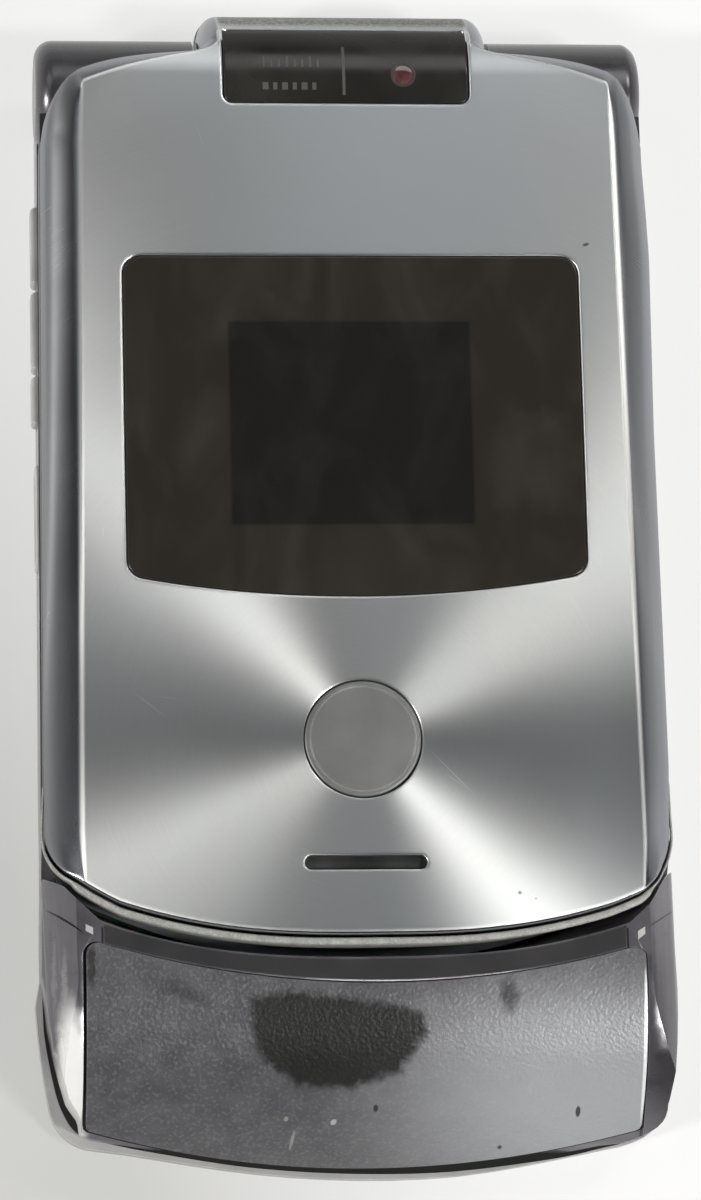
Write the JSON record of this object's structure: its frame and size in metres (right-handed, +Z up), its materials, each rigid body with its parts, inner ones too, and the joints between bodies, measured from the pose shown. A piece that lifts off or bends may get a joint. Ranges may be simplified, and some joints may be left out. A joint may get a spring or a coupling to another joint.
{
  "type": "flip phone",
  "caption": "Thin metal clamshell phone, closed, with a brushed outer lid, dark display window, camera in the hinge barrel and a raised chin.",
  "frame": {"origin": "middle of the bounding box's bottom, under the phone lying on its back", "axes": "+Z up through the closed lid, +Y along the length towards the hinge barrel, +X to the right seen from above"},
  "size_m": [0.0534, 0.098, 0.0139],
  "materials": {
    "lid_metal": "circular brushed, satin",
    "lid_rim": "dark satin",
    "inner_metal": "satin",
    "dark_plastic": "gloss",
    "window_lens": "dark clear lens",
    "display": "dark glass",
    "emblem_metal": "satin",
    "mesh": "fine mesh",
    "module": "matte",
    "board": "solder mask",
    "pin_steel": "machined",
    "rubber": "soft",
    "body_metal": "satin, worn at the edges",
    "rear_plastic": "soft satin",
    "chin_paint": "fine textured metallic paint",
    "magnesium": "cast",
    "keypad_metal": "etched satin",
    "battery_wrap": "film",
    "socket_steel": "bright",
    "contact_gold": "plated",
    "white_plastic": "matte"
  },
  "bodies": {
    "base": {"hinge_cartridge": "pin_steel", "base_frame": "body_metal", "rear_housing": "rear_plastic", "chin_cover": "chin_paint", "chassis_plate": "magnesium", "keypad_plate": "keypad_metal", "snap_domes": "pin_steel", "main_board": "board", "battery": "battery_wrap", "battery_contacts": "contact_gold", "sim_holder": "socket_steel", "usb_socket": "socket_steel", "side_switches": "module", "antenna": "white_plastic", "microphone": "module", "vibration_motor": "pin_steel", "base_screws": "pin_steel"},
    "lid": {"lid_outer_cover": "lid_metal", "lid_frame": "lid_rim", "lid_inner_cover": "inner_metal", "hinge_barrel": "lid_rim", "hinge_shafts": "pin_steel", "camera_window": "window_lens", "camera_module": "module", "outer_window": "window_lens", "outer_display": "display", "emblem_disc": "emblem_metal", "speaker_mesh": "mesh", "speaker": "module", "lid_board": "board", "inner_display": "display", "inner_window": "window_lens", "lid_bumpers": "rubber", "lid_screws": "pin_steel"},
    "battery_cover": {"battery_cover": "body_metal"},
    "cover_latch": {"cover_latch": "dark_plastic"},
    "nav_gimbal": {"nav_gimbal": "white_plastic"},
    "nav_ring": {"nav_ring": "keypad_metal"},
    "select_key": {"select_key": "keypad_metal"},
    "volume_up_key": {"volume_up_key": "dark_plastic"},
    "volume_down_key": {"volume_down_key": "dark_plastic"},
    "smart_key": {"smart_key": "dark_plastic"},
    "voice_key": {"voice_key": "dark_plastic"},
    "key_one": {"key_one": "keypad_metal"},
    "key_two": {"key_two": "keypad_metal"},
    "key_three": {"key_three": "keypad_metal"},
    "key_four": {"key_four": "keypad_metal"},
    "key_five": {"key_five": "keypad_metal"},
    "key_six": {"key_six": "keypad_metal"},
    "key_seven": {"key_seven": "keypad_metal"},
    "key_eight": {"key_eight": "keypad_metal"},
    "key_nine": {"key_nine": "keypad_metal"},
    "key_star": {"key_star": "keypad_metal"},
    "key_zero": {"key_zero": "keypad_metal"},
    "key_hash": {"key_hash": "keypad_metal"},
    "left_soft_key": {"left_soft_key": "keypad_metal"},
    "right_soft_key": {"right_soft_key": "keypad_metal"},
    "send_key": {"send_key": "keypad_metal"},
    "end_key": {"end_key": "keypad_metal"},
    "clear_key": {"clear_key": "keypad_metal"}
  },
  "joints": [
    {"name": "lid_hinge", "type": "hinge", "parent": "base", "child": "lid", "pos_m": [0, 0.0421, 0.007], "axis": [-1, 0, 0], "range_deg": [0, 160]},
    {"name": "key_one_press", "type": "slide", "parent": "base", "child": "key_one", "axis": [0, 0, -1], "range_m": [0, 0.00025], "stiffness_N_per_m": 400, "springref_m": -0.0003},
    {"name": "key_two_press", "type": "slide", "parent": "base", "child": "key_two", "axis": [0, 0, -1], "range_m": [0, 0.00025], "stiffness_N_per_m": 400, "springref_m": -0.0003},
    {"name": "key_three_press", "type": "slide", "parent": "base", "child": "key_three", "axis": [0, 0, -1], "range_m": [0, 0.00025], "stiffness_N_per_m": 400, "springref_m": -0.0003},
    {"name": "key_four_press", "type": "slide", "parent": "base", "child": "key_four", "axis": [0, 0, -1], "range_m": [0, 0.00025], "stiffness_N_per_m": 400, "springref_m": -0.0003},
    {"name": "key_five_press", "type": "slide", "parent": "base", "child": "key_five", "axis": [0, 0, -1], "range_m": [0, 0.00025], "stiffness_N_per_m": 400, "springref_m": -0.0003},
    {"name": "key_six_press", "type": "slide", "parent": "base", "child": "key_six", "axis": [0, 0, -1], "range_m": [0, 0.00025], "stiffness_N_per_m": 400, "springref_m": -0.0003},
    {"name": "key_seven_press", "type": "slide", "parent": "base", "child": "key_seven", "axis": [0, 0, -1], "range_m": [0, 0.00025], "stiffness_N_per_m": 400, "springref_m": -0.0003},
    {"name": "key_eight_press", "type": "slide", "parent": "base", "child": "key_eight", "axis": [0, 0, -1], "range_m": [0, 0.00025], "stiffness_N_per_m": 400, "springref_m": -0.0003},
    {"name": "key_nine_press", "type": "slide", "parent": "base", "child": "key_nine", "axis": [0, 0, -1], "range_m": [0, 0.00025], "stiffness_N_per_m": 400, "springref_m": -0.0003},
    {"name": "key_star_press", "type": "slide", "parent": "base", "child": "key_star", "axis": [0, 0, -1], "range_m": [0, 0.00025], "stiffness_N_per_m": 400, "springref_m": -0.0003},
    {"name": "key_zero_press", "type": "slide", "parent": "base", "child": "key_zero", "axis": [0, 0, -1], "range_m": [0, 0.00025], "stiffness_N_per_m": 400, "springref_m": -0.0003},
    {"name": "key_hash_press", "type": "slide", "parent": "base", "child": "key_hash", "axis": [0, 0, -1], "range_m": [0, 0.00025], "stiffness_N_per_m": 400, "springref_m": -0.0003},
    {"name": "left_soft_key_press", "type": "slide", "parent": "base", "child": "left_soft_key", "axis": [0, 0, -1], "range_m": [0, 0.00025], "stiffness_N_per_m": 400, "springref_m": -0.0003},
    {"name": "right_soft_key_press", "type": "slide", "parent": "base", "child": "right_soft_key", "axis": [0, 0, -1], "range_m": [0, 0.00025], "stiffness_N_per_m": 400, "springref_m": -0.0003},
    {"name": "send_key_press", "type": "slide", "parent": "base", "child": "send_key", "axis": [0, 0, -1], "range_m": [0, 0.00025], "stiffness_N_per_m": 400, "springref_m": -0.0003},
    {"name": "end_key_press", "type": "slide", "parent": "base", "child": "end_key", "axis": [0, 0, -1], "range_m": [0, 0.00025], "stiffness_N_per_m": 400, "springref_m": -0.0003},
    {"name": "clear_key_press", "type": "slide", "parent": "base", "child": "clear_key", "axis": [0, 0, -1], "range_m": [0, 0.00025], "stiffness_N_per_m": 400, "springref_m": -0.0003},
    {"name": "select_key_press", "type": "slide", "parent": "base", "child": "select_key", "axis": [0, 0, -1], "range_m": [0, 0.00025], "stiffness_N_per_m": 400, "springref_m": -0.0003},
    {"name": "volume_up_key_press", "type": "slide", "parent": "base", "child": "volume_up_key", "axis": [1, 0, 0], "range_m": [0, 0.0003], "stiffness_N_per_m": 400, "springref_m": -0.0003},
    {"name": "volume_down_key_press", "type": "slide", "parent": "base", "child": "volume_down_key", "axis": [1, 0, 0], "range_m": [0, 0.0003], "stiffness_N_per_m": 400, "springref_m": -0.0003},
    {"name": "smart_key_press", "type": "slide", "parent": "base", "child": "smart_key", "axis": [1, 0, 0], "range_m": [0, 0.0003], "stiffness_N_per_m": 400, "springref_m": -0.0003},
    {"name": "voice_key_press", "type": "slide", "parent": "base", "child": "voice_key", "axis": [-1, 0, 0], "range_m": [0, 0.0003], "stiffness_N_per_m": 400, "springref_m": -0.0003},
    {"name": "nav_tilt_side", "type": "hinge", "parent": "base", "child": "nav_gimbal", "pos_m": [0, 0.0204, 0.00592], "axis": [0, 1, 0], "range_deg": [-1.4, 1.4], "stiffness_Nm_per_rad": 0.05},
    {"name": "nav_tilt_fore", "type": "hinge", "parent": "nav_gimbal", "child": "nav_ring", "pos_m": [0, 0.0204, 0.00592], "axis": [1, 0, 0], "range_deg": [-1.4, 1.4], "stiffness_Nm_per_rad": 0.05},
    {"name": "cover_lift", "type": "slide", "parent": "base", "child": "battery_cover", "axis": [0, 0, -1], "range_m": [0, 0.012]},
    {"name": "latch_slide", "type": "slide", "parent": "battery_cover", "child": "cover_latch", "axis": [0, -1, 0], "range_m": [0, 0.001], "stiffness_N_per_m": 300, "springref_m": -0.0003}
  ]
}
